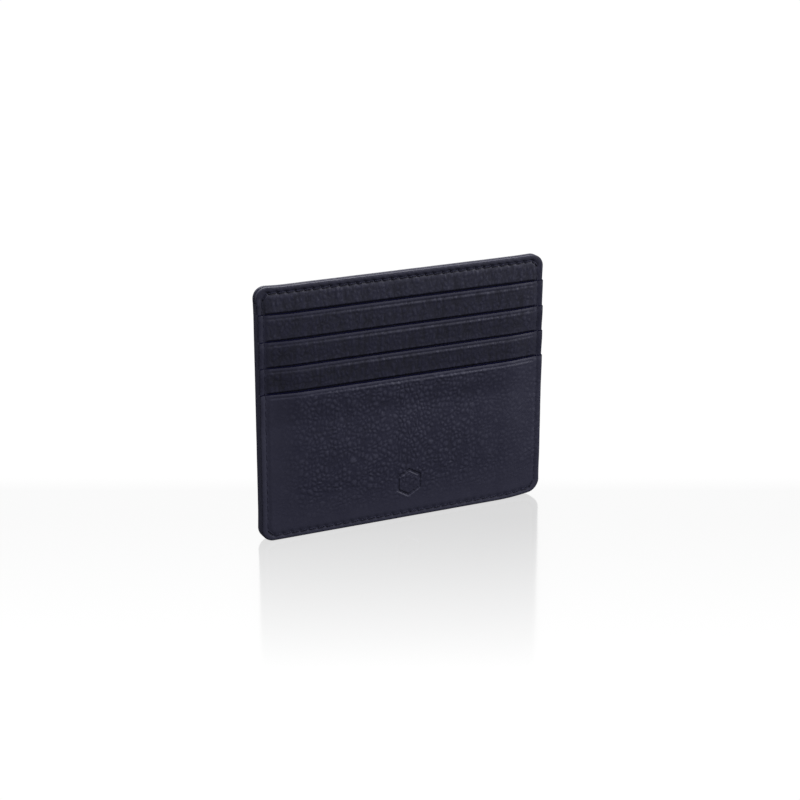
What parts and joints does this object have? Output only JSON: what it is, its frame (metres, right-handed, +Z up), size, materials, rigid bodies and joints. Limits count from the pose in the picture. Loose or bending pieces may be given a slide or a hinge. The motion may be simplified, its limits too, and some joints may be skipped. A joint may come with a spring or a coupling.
{
  "type": "card holder",
  "caption": "Slim upright card holder in dark pebbled leather, with stepped front card slots, a centre compartment open at the top, painted edges and a sewn border.",
  "frame": {"origin": "middle of the holder's width and thickness, at the level of its bottom edge", "axes": "+X to the right seen from the front, -Y out of the front with the card slots, +Z up towards the open top"},
  "size_m": [0.1, 0.0052, 0.0825],
  "materials": {
    "leather": "fine pebbled grain, soft satin sheen, very dark navy",
    "edge_paint": "smooth flexible edge paint, semi-gloss, dark navy",
    "thread": "twisted polyester sewing thread, dark navy, low sheen",
    "lining": "thin twill lining cloth, dark navy, matte",
    "stiffener": "grey fibre reinforcement sheet, hidden inside, matte",
    "filler": "skived leather strip, hidden inside, matte"
  },
  "bodies": {
    "root": {"rear_panel": "leather", "rear_stiffener": "stiffener", "rear_lining": "lining", "front_lining": "lining", "front_stiffener": "stiffener", "front_base_panel": "leather", "compartment_filler_bottom": "filler", "compartment_filler_left": "filler", "compartment_filler_right": "filler", "pocket_filler_bottom": "filler", "pocket_filler_left": "filler", "pocket_filler_right": "filler", "pocket_1_lining": "lining", "pocket_1_facing": "leather", "pocket_2_lining": "lining", "pocket_2_facing": "leather", "pocket_3_lining": "lining", "pocket_3_facing": "leather", "lower_pocket_panel": "leather", "pocket_1_mouth_paint": "edge_paint", "pocket_2_mouth_paint": "edge_paint", "pocket_3_mouth_paint": "edge_paint", "pocket_4_mouth_paint": "edge_paint", "edge_paint_left": "edge_paint", "edge_paint_right": "edge_paint", "edge_paint_bottom": "edge_paint", "edge_paint_rear_top": "edge_paint", "edge_paint_front_top": "edge_paint", "perimeter_needle_thread": "thread", "perimeter_bobbin_thread": "thread", "front_top_needle_thread": "thread", "front_top_bobbin_thread": "thread", "rear_top_needle_thread": "thread", "rear_top_bobbin_thread": "thread"}
  },
  "joints": []
}
